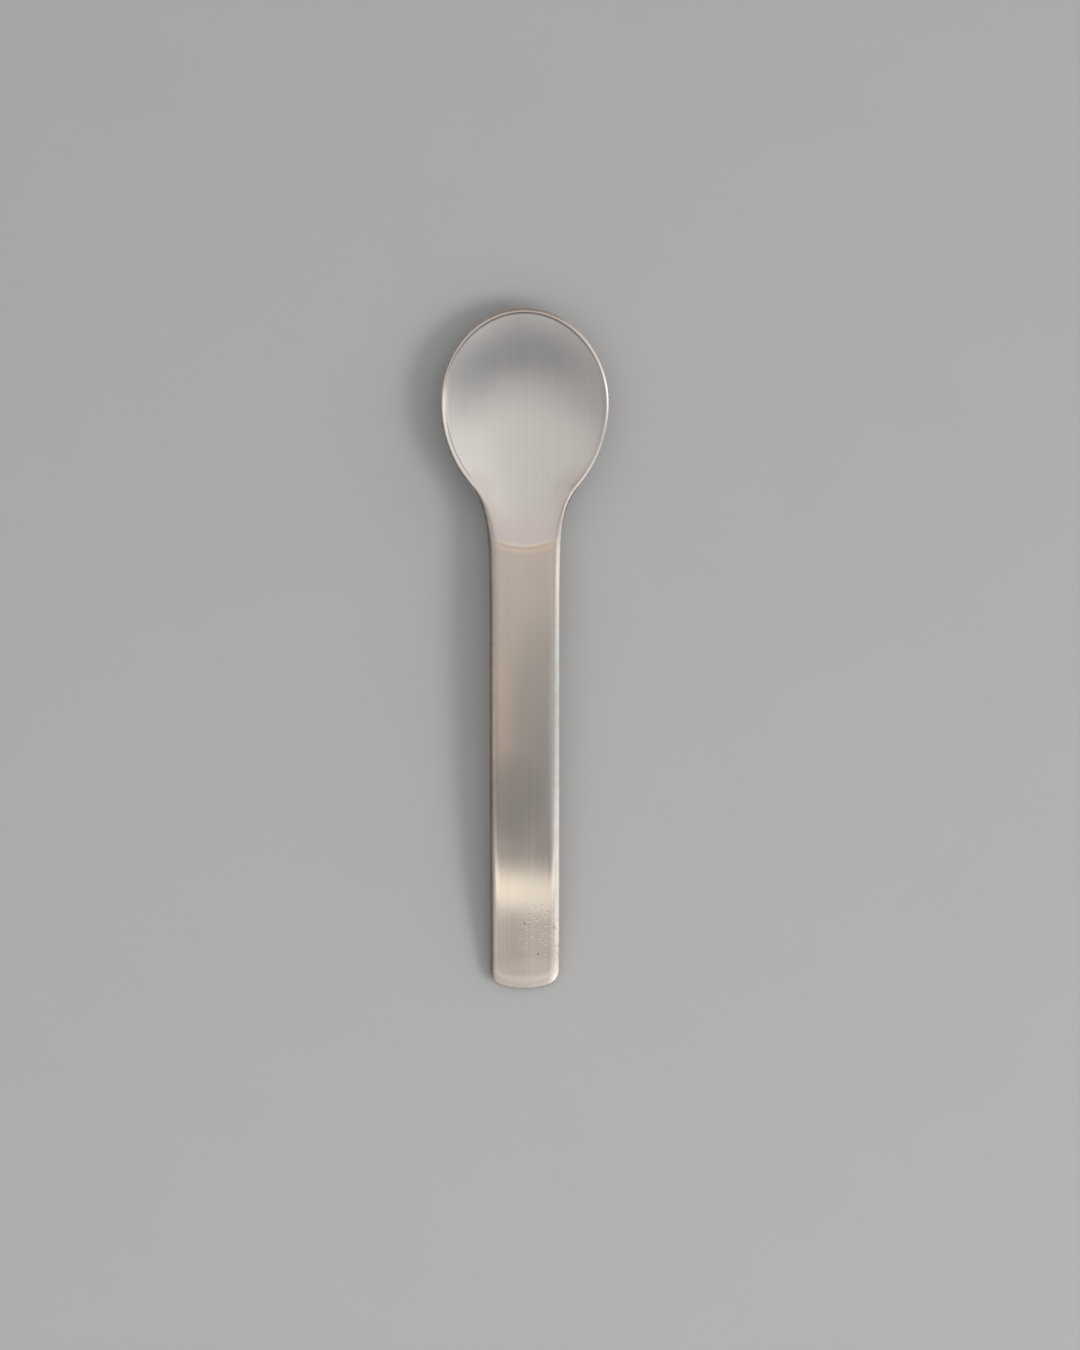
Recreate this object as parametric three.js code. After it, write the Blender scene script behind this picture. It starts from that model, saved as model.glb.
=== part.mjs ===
// A dessert spoon: a pressed steel bowl, brazed to a flat arched handle along a curved scarf joint.
// Millimetres. The spoon lies along Y with its tip towards +Y, centred on the origin, resting on z = 0.
import * as THREE from "three";

const { clamp, degToRad, inverseLerp, lerp, smoothstep } = THREE.MathUtils;

// Outline, seen from above
const OVERALL_LENGTH = 170;
const BOWL_WIDTH = 41.9;
const TIP_TO_WIDEST = 24;
const BELLY_RADIUS = 31.5; // side of the bowl, behind its widest place
const NECK_FLARE = 5.2; // distance in which the neck loses most of its extra width
const HANDLE_WIDTH = 17.3;
const END_RADIUS = 18.8; // curve of the handle's end
const END_CORNER_RADIUS = 4;

// Side profile: the slopes are in degrees, counted as a climb away from the tip
const TIP_SLOPE = 6;
const WIDEST_SLOPE = 2;
const NECK_SLOPE = 2;
const BEND_SLOPE = -4;
const END_SLOPE = -9;
const BEND_LENGTH = 19;
const END_STRAIGHT = 16; // flat length behind the bend

// Joint between bowl and handle
const TIP_TO_SEAM = 59.9; // on the centre line
const SEAM_SAG = 2.4; // how much nearer to the tip the seam lies at the sides
const SEAM_WIDTH = 0.6;
const SCARF_RUN = 6; // how far the joint leans under the bowl between the top and the bottom face

// Bowl
const DISH_DEPTH = 6; // at the widest place
const DISH_ENTRY_SLOPE = 6.7; // degrees, where the dish starts at the seam
const RIM_LAND = 0.9; // flat lip around the dish
const BOWL_WALL = 1.6;
const RIM_ROUND_WIDTH = 0.7;
const RIM_ROUND_HEIGHT = 0.6;
const REST_FLAT_DEPTH = 0.2; // worn off the lowest place under the bowl

// Handle
const HANDLE_THICKNESS = 3;
const EDGE_ROUND_WIDTH = 2.2; // soft upper edge
const EDGE_ROUND_HEIGHT = 1.3;
const LOWER_ROUND_WIDTH = 1.2;
const LOWER_ROUND_HEIGHT = 1;
const GAUGE_LENGTH = 16; // from the seam to where the wall is as thin as the bowl's

// Mesh fineness
const HALF_ACROSS = 12; // steps from the centre line to each side
const NECK_STEPS = 16;
const HEAD_STEPS = 14;
const HANDLE_STEPS = 26;
const CORNER_STEPS = 6;
const SLOPE_STEP = 0.01; // reach of the outline's slope to each side
const BISECTIONS = 50;
const REST_SAMPLES = 400;
const REST_ROUNDS = 12;
const MOST_ROUND_SHARE = 0.45; // of the thickness that one rounded edge may take

const HALF_BOWL = BOWL_WIDTH / 2;
const HALF_HANDLE = HANDLE_WIDTH / 2;
const TIP_Y = OVERALL_LENGTH / 2;
const END_Y = -OVERALL_LENGTH / 2;
const WIDEST_Y = TIP_Y - TIP_TO_WIDEST;
const SEAM_Y = TIP_Y - TIP_TO_SEAM;
const STRAIGHT_Y = END_Y + END_STRAIGHT;

const tangent = (degrees) => Math.tan(degToRad(degrees));

// The belly is an arc that hands over to the neck's flare where both have the same slope.
function bellySweep() {
  let low = 0;
  let high = Math.PI / 2;
  for (let i = 0; i < BISECTIONS; i++) {
    const sweep = (low + high) / 2;
    const extraWidth = HALF_BOWL - BELLY_RADIUS * (1 - Math.cos(sweep)) - HALF_HANDLE;
    if (Math.tan(sweep) * NECK_FLARE < extraWidth) low = sweep;
    else high = sweep;
  }
  return low;
}

const BELLY_SWEEP = bellySweep();
const BELLY_END_Y = WIDEST_Y - BELLY_RADIUS * Math.sin(BELLY_SWEEP);
const BELLY_END_HALF = HALF_BOWL - BELLY_RADIUS * (1 - Math.cos(BELLY_SWEEP));

// Half the width of the outline at y, with the handle's end left square.
function halfWidth(y) {
  if (y >= WIDEST_Y) {
    const t = (y - WIDEST_Y) / TIP_TO_WIDEST;
    return HALF_BOWL * Math.sqrt(Math.max(0, 1 - t * t));
  }
  if (y >= BELLY_END_Y) {
    const drop = WIDEST_Y - y;
    return HALF_BOWL - BELLY_RADIUS + Math.sqrt(BELLY_RADIUS ** 2 - drop ** 2);
  }
  const flare = Math.exp((y - BELLY_END_Y) / NECK_FLARE);
  return HALF_HANDLE + (BELLY_END_HALF - HALF_HANDLE) * flare;
}

// The handle's end is an arc about END_CENTRE_Y, rounded into the sides about the corner centre.
const END_CENTRE_Y = END_Y + END_RADIUS;
const CORNER_X = HALF_HANDLE - END_CORNER_RADIUS;
const CORNER_DROP = Math.sqrt((END_RADIUS - END_CORNER_RADIUS) ** 2 - CORNER_X ** 2);
const CORNER_Y = END_CENTRE_Y - CORNER_DROP;
const CORNER_SWEEP = Math.atan2(CORNER_DROP, CORNER_X);
const endBow = (x) => END_RADIUS - Math.sqrt(END_RADIUS ** 2 - x ** 2);

// Distance from the outline, inwards, at a point of the plan.
function edgeDistance(x, y) {
  const side = Math.abs(x);
  if (y >= WIDEST_Y) {
    const along = y - WIDEST_Y;
    const reach = Math.hypot(side / HALF_BOWL, along / TIP_TO_WIDEST);
    const steepness = Math.hypot(side / HALF_BOWL ** 2, along / TIP_TO_WIDEST ** 2);
    return steepness > 0 ? Math.max(0, ((1 - reach) * reach) / steepness) : HALF_BOWL;
  }
  const slope = (halfWidth(y + SLOPE_STEP) - halfWidth(y - SLOPE_STEP)) / (2 * SLOPE_STEP);
  const toSide = (halfWidth(y) - side) / Math.hypot(1, slope);
  const toEnd = END_RADIUS - Math.hypot(x, END_CENTRE_Y - y);
  const cornerAngle = Math.atan2(CORNER_Y - y, side - CORNER_X);
  if (cornerAngle > 0 && cornerAngle < CORNER_SWEEP) {
    return Math.max(0, END_CORNER_RADIUS - Math.hypot(side - CORNER_X, CORNER_Y - y));
  }
  return Math.max(0, y > CORNER_Y ? toSide : Math.min(toSide, toEnd));
}

// Height of the unformed sheet at y, from slopes that change evenly between these places.
const SLOPES = [
  [TIP_Y, tangent(TIP_SLOPE)],
  [WIDEST_Y, tangent(WIDEST_SLOPE)],
  [SEAM_Y, tangent(NECK_SLOPE)],
  [STRAIGHT_Y + BEND_LENGTH, tangent(BEND_SLOPE)],
  [STRAIGHT_Y, tangent(END_SLOPE)],
  [END_Y, tangent(END_SLOPE)],
];

function sheetRise(y) {
  let rise = 0;
  for (let i = 1; i < SLOPES.length; i++) {
    const [startY, startSlope] = SLOPES[i - 1];
    const [stopY, stopSlope] = SLOPES[i];
    const reached = Math.max(y, stopY);
    const slope = lerp(startSlope, stopSlope, inverseLerp(startY, stopY, reached));
    rise += ((startSlope + slope) / 2) * (startY - reached);
    if (y >= stopY) break;
  }
  return rise;
}

// The seam's line across the spoon, and how deep the dish is pressed at a point of the plan.
const SEAM_HALF = halfWidth(SEAM_Y + SEAM_SAG);
const seamLine = (x) => SEAM_Y + SEAM_SAG * (x / SEAM_HALF) ** 2;

// Behind the widest place it starts with the curve that it has before it, and it ends with the entry's slope.
function dishDepth(x, y) {
  const half = halfWidth(y) - RIM_LAND;
  if (half <= Math.abs(x)) return 0;
  const headShare = y > WIDEST_Y ? (half / (HALF_BOWL - RIM_LAND)) ** 2 : 1;
  const run = WIDEST_Y - seamLine(x);
  const back = clamp((WIDEST_Y - y) / run, 0, 1);
  const entry = (tangent(DISH_ENTRY_SLOPE) * run) / DISH_DEPTH;
  const square = (run / TIP_TO_WIDEST) ** 2;
  const fourth = 3 - square - entry;
  const cube = square - 1 - fourth;
  const sink = 1 - square * back ** 2 + cube * back ** 3 + fourth * back ** 4;
  return DISH_DEPTH * sink * headShare * (1 - (x / half) ** 2);
}

// A value that is one size in the bowl and another in the handle, and blends at the neck.
function gauge(y, bowlSize, handleSize) {
  return lerp(handleSize, bowlSize, smoothstep(y, SEAM_Y, SEAM_Y + GAUGE_LENGTH));
}

const thickness = (y) => gauge(y, BOWL_WALL, HANDLE_THICKNESS);

// How far a rounded edge falls away at a distance from the outline.
function roundOff(distance, width, height, wall) {
  const inset = clamp(1 - distance / width, 0, 1);
  return Math.min(height, wall * MOST_ROUND_SHARE) * (1 - Math.sqrt(1 - inset ** 2));
}

function upperRise(x, y) {
  const width = gauge(y, RIM_ROUND_WIDTH, EDGE_ROUND_WIDTH);
  const height = gauge(y, RIM_ROUND_HEIGHT, EDGE_ROUND_HEIGHT);
  return sheetRise(y) - dishDepth(x, y) - roundOff(edgeDistance(x, y), width, height, thickness(y));
}

function lowerRise(x, y) {
  const width = gauge(y, RIM_ROUND_WIDTH, LOWER_ROUND_WIDTH);
  const height = gauge(y, RIM_ROUND_HEIGHT, LOWER_ROUND_HEIGHT);
  const round = roundOff(edgeDistance(x, y), width, height, thickness(y));
  return sheetRise(y) - dishDepth(x, y) - thickness(y) + round;
}

// The spoon lies on the bowl and on the handle's end: the tilt and lift that put both on z = 0.
function lowestPlace(fromY, toY, tilt) {
  let lowest = { y: fromY, rise: Infinity };
  for (let i = 0; i <= REST_SAMPLES; i++) {
    const y = lerp(fromY, toY, i / REST_SAMPLES);
    const rise = lowerRise(0, y) + tilt * y;
    if (rise < lowest.rise) lowest = { y, rise };
  }
  return lowest;
}

function restingPose() {
  let tilt = 0;
  let lift = 0;
  for (let i = 0; i < REST_ROUNDS; i++) {
    const bowl = lowestPlace(SEAM_Y, TIP_Y, tilt);
    const end = lowestPlace(END_Y, STRAIGHT_Y, tilt);
    tilt -= (bowl.rise + REST_FLAT_DEPTH - end.rise) / (bowl.y - end.y);
    lift = -lowestPlace(END_Y, STRAIGHT_Y, tilt).rise;
  }
  return { tilt, lift };
}

const REST = restingPose();
const upperHeight = (x, y) => upperRise(x, y) + REST.tilt * y + REST.lift;
const lowerHeight = (x, y) => Math.max(0, lowerRise(x, y) + REST.tilt * y + REST.lift);

// One row of points across the spoon: its middle lies at middleY and its sides lead by the sag.
function rowAcross(middleY, sag, half, heightAt) {
  const row = [];
  for (let i = -HALF_ACROSS; i <= HALF_ACROSS; i++) {
    const share = Math.sin((Math.PI / 2) * (i / HALF_ACROSS));
    const x = half * share;
    const y = middleY + sag * share ** 2;
    row.push(new THREE.Vector3(x, y, heightAt(x, y)));
  }
  return row;
}

// A station is an upper row and a lower row; a scarfed one has its lower row further towards the tip.
function station(middleY, sag, scarf) {
  const upperHalf = halfWidth(middleY + sag);
  const lowerHalf = halfWidth(middleY + scarf + sag);
  return {
    upper: rowAcross(middleY, sag, upperHalf, upperHeight),
    lower: rowAcross(middleY + scarf, sag, lowerHalf, lowerHeight),
  };
}

const handleSideOfSeam = () => station(SEAM_Y - SEAM_WIDTH / 2, SEAM_SAG, SCARF_RUN);
const bowlSideOfSeam = () => station(SEAM_Y + SEAM_WIDTH / 2, SEAM_SAG, SCARF_RUN);

// From the seam to the tip: the rows straighten on the way to the widest place.
function bowlStations() {
  const stations = [bowlSideOfSeam()];
  for (let i = 1; i < NECK_STEPS; i++) {
    const left = 1 - i / NECK_STEPS;
    const middleY = lerp(WIDEST_Y, SEAM_Y + SEAM_WIDTH / 2, left);
    stations.push(station(middleY, SEAM_SAG * left, SCARF_RUN * left));
  }
  for (let i = 0; i <= HEAD_STEPS; i++) {
    const angle = (Math.PI / 2) * (i / HEAD_STEPS);
    stations.push(station(WIDEST_Y + TIP_TO_WIDEST * Math.sin(angle), 0, 0));
  }
  return stations;
}

// From the end to the seam: the rows of the rounded end first, each bowed like the end itself.
function handleStations() {
  const stations = [];
  for (let i = 0; i <= CORNER_STEPS; i++) {
    const angle = CORNER_SWEEP * (1 - i / CORNER_STEPS);
    const x = CORNER_X + END_CORNER_RADIUS * Math.cos(angle);
    const sag = endBow(x);
    const middleY = CORNER_Y - END_CORNER_RADIUS * Math.sin(angle) - sag;
    stations.push({
      upper: rowAcross(middleY, sag, x, upperHeight),
      lower: rowAcross(middleY, sag, x, lowerHeight),
    });
  }
  const startSag = endBow(HALF_HANDLE);
  const startY = CORNER_Y - startSag;
  for (let i = 1; i < HANDLE_STEPS; i++) {
    const done = i / HANDLE_STEPS;
    const middleY = lerp(startY, SEAM_Y - SEAM_WIDTH / 2, done);
    stations.push(station(middleY, lerp(startSag, SEAM_SAG, done), SCARF_RUN * done));
  }
  stations.push(handleSideOfSeam());
  return stations;
}

// Closes the upper and lower rows of a run of stations, listed towards the tip, into one solid.
function solidGeometry(stations) {
  const across = stations[0].upper.length;
  const positions = [];
  const addTriangle = (a, b, c) => {
    if (a.equals(b) || b.equals(c) || c.equals(a)) return;
    positions.push(...a, ...b, ...c);
  };
  const addQuad = (a, b, c, d) => {
    addTriangle(a, b, c);
    addTriangle(a, c, d);
  };
  for (let j = 1; j < stations.length; j++) {
    const near = stations[j - 1];
    const far = stations[j];
    for (let i = 1; i < across; i++) {
      addQuad(near.upper[i - 1], near.upper[i], far.upper[i], far.upper[i - 1]);
      addQuad(near.lower[i], near.lower[i - 1], far.lower[i - 1], far.lower[i]);
    }
    const right = across - 1;
    addQuad(near.upper[0], far.upper[0], far.lower[0], near.lower[0]);
    addQuad(far.upper[right], near.upper[right], near.lower[right], far.lower[right]);
  }
  const first = stations[0];
  const last = stations[stations.length - 1];
  for (let i = 1; i < across; i++) {
    addQuad(first.upper[i - 1], first.lower[i - 1], first.lower[i], first.upper[i]);
    addQuad(last.upper[i - 1], last.upper[i], last.lower[i], last.lower[i - 1]);
  }
  const geometry = new THREE.BufferGeometry();
  geometry.setAttribute("position", new THREE.Float32BufferAttribute(positions, 3));
  geometry.computeVertexNormals();
  return geometry;
}

function piece(name, stations, color, roughness) {
  const material = new THREE.MeshStandardMaterial({ color, roughness, metalness: 1 });
  const mesh = new THREE.Mesh(solidGeometry(stations), material);
  mesh.name = name;
  return mesh;
}

const spoon = new THREE.Group();
spoon.add(piece("bowl", bowlStations(), 0xc3bdb7, 0.38));
spoon.add(piece("braze_seam", [handleSideOfSeam(), bowlSideOfSeam()], 0xc2a888, 0.45));
spoon.add(piece("handle", handleStations(), 0xb5aca3, 0.3));

export default spoon;
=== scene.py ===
"""The finished look of a dessert spoon: a satin steel bowl, brazed to a brushed and arched handle."""

import logging
import math
from dataclasses import dataclass, field
from enum import Enum
from functools import cache, cached_property
from typing import Callable

import bmesh
import bpy
import numpy as np
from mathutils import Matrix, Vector


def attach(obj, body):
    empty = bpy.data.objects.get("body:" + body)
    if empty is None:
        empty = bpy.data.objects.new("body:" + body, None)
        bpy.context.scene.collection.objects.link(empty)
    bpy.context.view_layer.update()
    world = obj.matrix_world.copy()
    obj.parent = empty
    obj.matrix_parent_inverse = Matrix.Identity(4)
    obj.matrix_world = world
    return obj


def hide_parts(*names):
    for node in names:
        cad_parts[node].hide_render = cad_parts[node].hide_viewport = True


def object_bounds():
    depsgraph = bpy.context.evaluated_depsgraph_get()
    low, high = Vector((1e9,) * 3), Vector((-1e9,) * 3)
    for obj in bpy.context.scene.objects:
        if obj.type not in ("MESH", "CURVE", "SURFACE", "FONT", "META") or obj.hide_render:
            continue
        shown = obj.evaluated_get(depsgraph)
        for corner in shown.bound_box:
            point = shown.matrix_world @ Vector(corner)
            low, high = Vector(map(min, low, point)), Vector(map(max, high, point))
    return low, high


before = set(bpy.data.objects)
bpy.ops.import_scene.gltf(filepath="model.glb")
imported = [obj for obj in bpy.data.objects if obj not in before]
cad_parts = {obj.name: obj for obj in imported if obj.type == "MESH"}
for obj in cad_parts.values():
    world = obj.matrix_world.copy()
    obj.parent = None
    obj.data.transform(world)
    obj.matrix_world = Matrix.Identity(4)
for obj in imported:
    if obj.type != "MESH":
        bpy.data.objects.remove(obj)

CAD_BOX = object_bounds()

MM = 0.001
TINY = 1e-6
LEAST_SLOPE = 1e-9
BODY = "root"
BRUSH_MAP = "brush"
EDGE_MARK = "edge_distance"
PHOTO_WIDTH = 1080
PHOTO_HEIGHT = 1350
SHARP_EDGE = math.radians(50)
WATTS_PER_AREA = 4.0  # what an area lamp needs per square metre, for a radiance of 1

Array = np.ndarray
Colour = tuple[float, float, float]
Point = tuple[float, float, float]
Pair = tuple[float, float]
Names = tuple[str, ...]
HeightAt = Callable[[Array, Array], Array]
Inputs = dict[str | int, object]
Socket = bpy.types.NodeSocket
Sockets = dict[str, Socket]

log = logging.getLogger("spoon")


class Slot(Enum):
    """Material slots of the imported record."""

    BOWL = "satin_steel"
    SEAM = "braze_filler"
    HANDLE = "brushed_steel"


class Node(Enum):
    """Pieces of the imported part, which the finished pieces stand for."""

    BOWL = "bowl"
    SEAM = "braze_seam"
    HANDLE = "handle"


def smooth_share(value: Array, low: float, high: float) -> Array:
    """Rises smoothly from 0, where the value is low, to 1, where it is high."""
    share = np.clip((value - low) / (high - low), 0, 1)
    return share * share * (3 - 2 * share)


@dataclass(frozen=True)
class EdgeRound:
    """A rounded edge, in millimetres: its width and height, and how late it bends.

    The width and the height grow by shares towards the tip. Towards the handle's end the width grows too,
    and the edge rolls over later and more tightly.
    """

    width: float
    height: float
    bend: float
    tip_growth: Pair = (0.0, 0.0)
    end_growth: float = 0.0
    end_roll: float = 0.0


@dataclass(frozen=True)
class SpoonForm:
    """Curves of the whole spoon, in millimetres and degrees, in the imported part's frame."""

    length: float
    bowl_width: float
    tip_to_widest: float = 24.0
    belly_radius: float = 31.5
    neck_flare: float = 5.2
    handle_width: float = 17.3
    end_radius: float = 18.8
    end_corner: float = 4.0
    tip_slope: float = 6.0
    widest_slope: float = 2.0
    neck_slope: float = 2.0
    bend_slope: float = -4.0
    end_slope: float = -9.0
    bend_length: float = 19.0
    end_straight: float = 16.0
    tip_to_seam: float = 59.9
    seam_sag: float = 2.4
    seam_width: float = 0.6
    scarf_run: float = 6.0
    dish_depth: float = 6.0
    dish_entry_slope: float = 6.7
    dish_edge_softness: float = 0.02
    rim_land: float = 0.5
    bowl_wall: float = 1.6
    lip_rise: float = 0.1
    lip_inset: Pair = (0.45, 1.9)
    lip_fade: float = 16.0
    rest_flat: float = 0.2
    handle_thickness: float = 3.0
    upper_rim: EdgeRound = EdgeRound(0.6, 0.5, 1.3, tip_growth=(0.8, 0.6))
    lower_rim: EdgeRound = EdgeRound(0.7, 0.6, 2.4)
    upper_edge: EdgeRound = EdgeRound(2.6, 1.15, 2.2, end_growth=0.7, end_roll=0.5)
    lower_edge: EdgeRound = EdgeRound(1.2, 1.0, 2.4)
    gauge_length: float = 16.0
    end_fade: float = 6.0
    halvings: int = 50
    slope_step: float = 0.01
    rest_rounds: int = 12
    rest_samples: int = 800

    @cached_property
    def tip_y(self) -> float:
        """Place of the tip along the spoon."""
        return self.length / 2

    @cached_property
    def end_y(self) -> float:
        """Place of the handle's end along the spoon."""
        return -self.length / 2

    @cached_property
    def widest_y(self) -> float:
        """Place where the bowl is widest."""
        return self.tip_y - self.tip_to_widest

    @cached_property
    def seam_y(self) -> float:
        """Place of the seam on the centre line."""
        return self.tip_y - self.tip_to_seam

    @cached_property
    def straight_y(self) -> float:
        """Place where the handle's straight end starts."""
        return self.end_y + self.end_straight

    @cached_property
    def half_bowl(self) -> float:
        """Half the bowl's width."""
        return self.bowl_width / 2

    @cached_property
    def half_handle(self) -> float:
        """Half the handle's width."""
        return self.handle_width / 2

    @cached_property
    def half_seam(self) -> float:
        """Half the outline's width where the seam ends."""
        return float(self.half_width(np.array(self.seam_y + self.seam_sag)))

    @cached_property
    def belly_end(self) -> Pair:
        """Where the belly's arc hands over to the neck's flare, with the same slope.

        Returns:
            The place along the spoon, and the half width there.
        """
        low, high = 0.0, math.pi / 2
        for _ in range(self.halvings):
            sweep = (low + high) / 2
            extra = self.half_bowl - self.belly_radius * (1 - math.cos(sweep)) - self.half_handle
            if math.tan(sweep) * self.neck_flare < extra:
                low = sweep
            else:
                high = sweep
        half = self.half_bowl - self.belly_radius * (1 - math.cos(low))
        return self.widest_y - self.belly_radius * math.sin(low), half

    @cached_property
    def corner(self) -> tuple[float, float, float]:
        """The end's rounded corner.

        Returns:
            The x and y of its centre, and the angle that its arc sweeps.
        """
        x = self.half_handle - self.end_corner
        drop = math.sqrt((self.end_radius - self.end_corner) ** 2 - x**2)
        return x, self.end_y + self.end_radius - drop, math.atan2(drop, x)

    def half_width(self, y: Array) -> Array:
        """Half the outline's width, with the handle's end left square.

        Args:
            y: Places along the spoon.

        Returns:
            Half widths.
        """
        along = np.asarray(y, float) - self.widest_y
        head = self.half_bowl * np.sqrt(np.clip(1 - (along / self.tip_to_widest) ** 2, 0, None))
        arc = np.sqrt(np.clip(self.belly_radius**2 - along**2, 0, None))
        belly = self.half_bowl - self.belly_radius + arc
        start_y, start_half = self.belly_end
        flare = np.exp(np.minimum(0, y - start_y) / self.neck_flare)
        neck = self.half_handle + (start_half - self.half_handle) * flare
        return np.where(along >= 0, head, np.where(y >= start_y, belly, neck))

    def end_bow(self, x: float) -> float:
        """How far the handle's end curves back at a distance from the centre line."""
        return self.end_radius - math.sqrt(self.end_radius**2 - x**2)

    def edge_distance(self, x: Array, y: Array) -> Array:
        """Distance inwards from the outline, seen from above.

        Args:
            x: Places across the spoon.
            y: Places along the spoon.

        Returns:
            Distances, 0 on the outline.
        """
        side = np.abs(x)
        along = y - self.widest_y
        reach = np.hypot(side / self.half_bowl, along / self.tip_to_widest)
        steep = np.hypot(side / self.half_bowl**2, along / self.tip_to_widest**2)
        inwards = (1 - reach) * reach / np.maximum(steep, LEAST_SLOPE)
        head = np.where(reach > TINY, inwards, self.half_bowl)
        step = self.slope_step
        slope = (self.half_width(y + step) - self.half_width(y - step)) / (2 * step)
        to_side = (self.half_width(y) - side) / np.hypot(1, slope)
        to_end = self.end_radius - np.hypot(x, self.end_y + self.end_radius - y)
        corner_x, corner_y, sweep = self.corner
        angle = np.arctan2(corner_y - y, side - corner_x)
        round_corner = self.end_corner - np.hypot(side - corner_x, corner_y - y)
        body = np.where(y > corner_y, to_side, np.minimum(to_side, to_end))
        body = np.where((angle > 0) & (angle < sweep), round_corner, body)
        return np.maximum(0, np.where(along >= 0, head, body))

    def sheet_rise(self, y: Array) -> Array:
        """Height of the unformed sheet, from slopes that change evenly between named places.

        Args:
            y: Places along the spoon.

        Returns:
            Heights above the sheet's tip.
        """
        knots = (
            (self.tip_y, self.tip_slope),
            (self.widest_y, self.widest_slope),
            (self.seam_y, self.neck_slope),
            (self.straight_y + self.bend_length, self.bend_slope),
            (self.straight_y, self.end_slope),
            (self.end_y, self.end_slope),
        )
        places = [place for place, _ in knots]
        slopes = [math.tan(math.radians(degrees)) for _, degrees in knots]
        rise = np.zeros_like(np.asarray(y, float))
        for start, stop, first, last in zip(places, places[1:], slopes, slopes[1:]):
            run = np.clip(start - y, 0, start - stop)
            rise += run * (first + (last - first) * run / (2 * (start - stop)))
        return rise

    def seam_line(self, x: Array) -> Array:
        """Place of the seam along the spoon, at places across it."""
        return self.seam_y + self.seam_sag * (x / self.half_seam) ** 2

    def dish_sink(self, x: Array, y: Array) -> Array:
        """How deep the dish is pressed, with a softened edge at the rim's land.

        Args:
            x: Places across the spoon.
            y: Places along the spoon.

        Returns:
            Depths below the unformed sheet.
        """
        half = np.maximum(self.half_width(y) - self.rim_land, TINY)
        length = self.widest_y - self.seam_line(x)
        back = np.clip((self.widest_y - y) / length, 0, 1)
        entry = math.tan(math.radians(self.dish_entry_slope)) * length / self.dish_depth
        curve = (length / self.tip_to_widest) ** 2
        quartic = 3 - curve - entry
        cubic = curve - 1 - quartic
        sink = 1 - curve * back**2 + cubic * back**3 + quartic * back**4
        head = np.where(y > self.widest_y, (half / (self.half_bowl - self.rim_land)) ** 2, 1)
        bowl = head * (1 - (x / half) ** 2)
        soft = (bowl + np.sqrt(bowl**2 + self.dish_edge_softness**2)) / 2
        return self.dish_depth * sink * soft

    def gauge(self, y: Array, bowl: float | Array, handle: float | Array) -> Array:
        """A size that is one value in the bowl and another in the handle, and blends at the neck."""
        share = smooth_share(y, self.seam_y, self.seam_y + self.gauge_length)
        return handle + (bowl - handle) * share

    def tip_scale(self, y: Array, growth: float) -> Array:
        """How much larger a size of the rim's rounding is worn, towards the tip."""
        return 1 + growth * smooth_share(y, self.widest_y, self.tip_y)

    def end_share(self, y: Array) -> Array:
        """Rises from 0 to 1 over the last stretch before the handle's end."""
        return smooth_share(-y, -self.end_y - self.end_fade, -self.end_y)

    def rim_distance(self, x: Array, y: Array) -> Array:
        """Distance inwards from the outline, measured in widths of the upper rim's rounding."""
        rim = self.upper_rim
        return self.edge_distance(x, y) / (rim.width * self.tip_scale(y, rim.tip_growth[0]))

    def fall(self, x: Array, y: Array, rim: EdgeRound, edge: EdgeRound) -> Array:
        """How far a rounded edge falls away.

        Args:
            x: Places across the spoon.
            y: Places along the spoon.
            rim: The rounding around the bowl.
            edge: The rounding along the handle.

        Returns:
            Drops, largest on the outline.
        """
        wider, higher = (self.tip_scale(y, growth) for growth in rim.tip_growth)
        near_end = self.end_share(y)
        width = self.gauge(y, rim.width * wider, edge.width * (1 + edge.end_growth * near_end))
        height = self.gauge(y, rim.height * higher, edge.height)
        inset = np.clip(1 - self.edge_distance(x, y) / width, 0, 1)
        kept = 1 - inset ** self.gauge(y, rim.bend, edge.bend)
        return height * (1 - kept ** (1 - edge.end_roll * near_end))

    def lip(self, x: Array, y: Array) -> Array:
        """How far the lip is turned up above the sheet around the bowl.

        Args:
            x: Places across the spoon.
            y: Places along the spoon.

        Returns:
            Heights, 0 away from the lip.
        """
        inner, outer = self.lip_inset
        turned = np.clip((outer - self.edge_distance(x, y)) / (outer - inner), 0, 1) ** 2
        start = smooth_share(y, self.seam_y, self.seam_y + self.lip_fade)
        stop = smooth_share(y, self.widest_y, self.widest_y + self.lip_fade)
        return self.lip_rise * turned * start * (1 - stop)

    def pressed(self, x: Array, y: Array) -> Array:
        """Height of the sheet with the dish pressed into it."""
        return self.sheet_rise(y) - self.dish_sink(x, y)

    def upper_rise(self, x: Array, y: Array) -> Array:
        """Upper face before the spoon is laid down."""
        return self.pressed(x, y) - self.fall(x, y, self.upper_rim, self.upper_edge) + self.lip(x, y)

    def lower_rise(self, x: Array, y: Array) -> Array:
        """Lower face before the spoon is laid down."""
        wall = self.gauge(y, self.bowl_wall, self.handle_thickness)
        return self.pressed(x, y) - wall + self.fall(x, y, self.lower_rim, self.lower_edge)

    def lowest(self, start: float, stop: float, tilt: float) -> Pair:
        """Place and height of the lowest point under the centre line.

        Args:
            start: Where the search starts.
            stop: Where the search stops.
            tilt: Slope that is added along the spoon.

        Returns:
            The place along the spoon, and its height.
        """
        y = np.linspace(start, stop, self.rest_samples)
        rise = self.lower_rise(np.zeros_like(y), y) + tilt * y
        found = int(rise.argmin())
        return float(y[found]), float(rise[found])

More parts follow.
